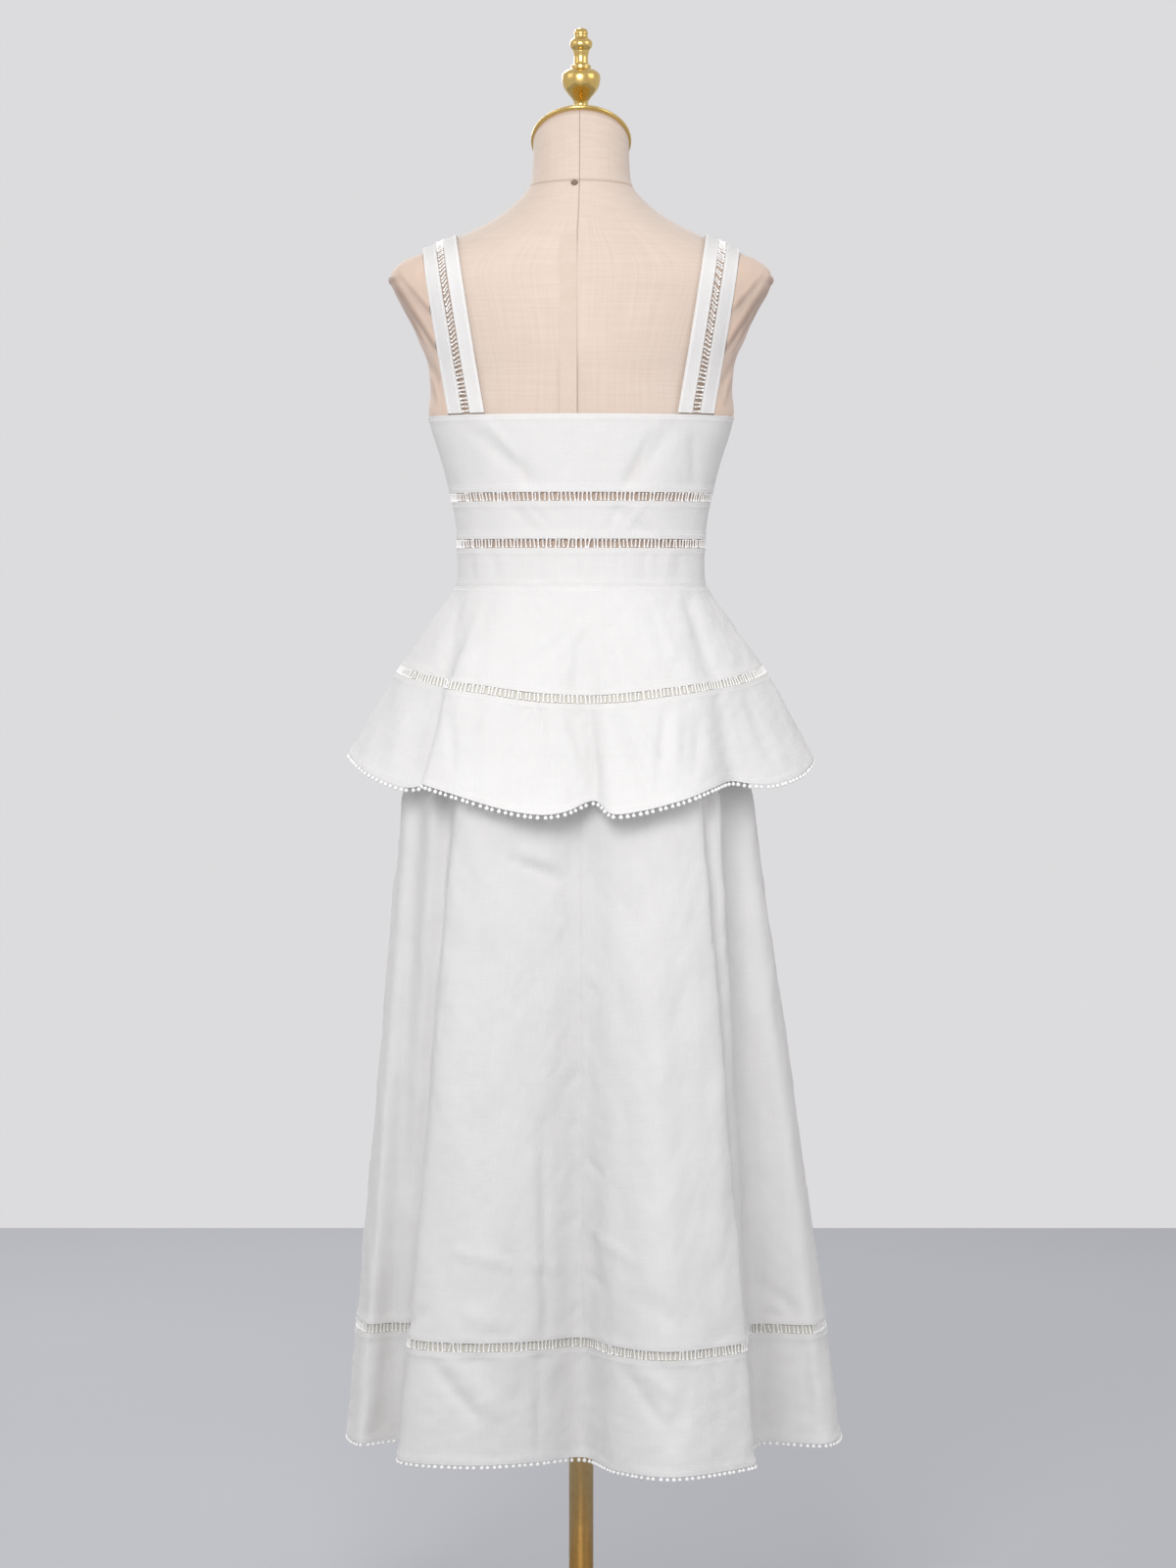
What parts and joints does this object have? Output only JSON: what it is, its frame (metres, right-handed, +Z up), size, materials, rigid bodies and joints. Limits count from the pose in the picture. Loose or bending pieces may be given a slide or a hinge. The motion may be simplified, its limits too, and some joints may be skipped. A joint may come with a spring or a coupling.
{
  "type": "button-down midi dress on a limbless dress form with a stand",
  "caption": "Sleeveless white button-down midi dress with a peplum and ladder-lace insertions, on a linen-covered dress form with a brass pole.",
  "frame": {"origin": "on the floor, at the middle of the stand's flat underside", "axes": "+Z up, the dress's buttoned front faces -Y and its back +Y, the wearer's left is at +X"},
  "size_m": [0.509, 0.4172, 1.652],
  "materials": {
    "ramie_cloth": "white plain-woven cotton and ramie, crisp and slightly sheer",
    "ladder_lace": "white cotton ladder insertion with open rungs",
    "bead_trim": "white beaded picot edging",
    "buttons": "off-white, soft sheen",
    "form_linen": "ecru linen, matt",
    "form_sheer": "brown-beige sheer voile, matt",
    "brass": "polished, slightly dulled on the pole"
  },
  "bodies": {
    "root": {"back_middle": "ramie_cloth", "back_upper": "ramie_cloth", "back_waistband": "ramie_cloth", "bodice_ladder_lower": "ladder_lace", "bodice_ladder_upper": "ladder_lace", "button_bodice_1": "buttons", "button_bodice_2": "buttons", "button_bodice_3": "buttons", "button_bodice_4": "buttons", "button_bodice_5": "buttons", "button_skirt_1": "buttons", "button_skirt_2": "buttons", "button_skirt_3": "buttons", "button_skirt_4": "buttons", "button_skirt_5": "buttons", "button_skirt_6": "buttons", "button_skirt_7": "buttons", "finial": "brass", "form_armhole_cover_left": "form_sheer", "form_armhole_cover_right": "form_sheer", "form_torso": "form_linen", "form_underside_plate": "brass", "front_left_middle": "ramie_cloth", "front_left_upper": "ramie_cloth", "front_left_waistband": "ramie_cloth", "front_right_middle": "ramie_cloth", "front_right_upper": "ramie_cloth", "front_right_waistband": "ramie_cloth", "neck_cap": "brass", "peplum_back_lower": "ramie_cloth", "peplum_back_upper": "ramie_cloth", "peplum_bead_trim": "bead_trim", "peplum_front_left_lower": "ramie_cloth", "peplum_front_left_upper": "ramie_cloth", "peplum_front_right_lower": "ramie_cloth", "peplum_front_right_upper": "ramie_cloth", "peplum_ladder": "ladder_lace", "placket_bodice": "ramie_cloth", "placket_skirt": "ramie_cloth", "skirt_back_left": "ramie_cloth", "skirt_back_right": "ramie_cloth", "skirt_bead_trim": "bead_trim", "skirt_front_left": "ramie_cloth", "skirt_front_right": "ramie_cloth", "skirt_hem_band_back": "ramie_cloth", "skirt_hem_band_front_left": "ramie_cloth", "skirt_hem_band_front_right": "ramie_cloth", "skirt_ladder": "ladder_lace", "stand_base": "brass", "stand_collar": "brass", "stand_pole": "brass", "strap_left_inner_tape": "ramie_cloth", "strap_left_ladder": "ladder_lace", "strap_left_outer_tape": "ramie_cloth", "strap_right_inner_tape": "ramie_cloth", "strap_right_ladder": "ladder_lace", "strap_right_outer_tape": "ramie_cloth"}
  },
  "joints": []
}
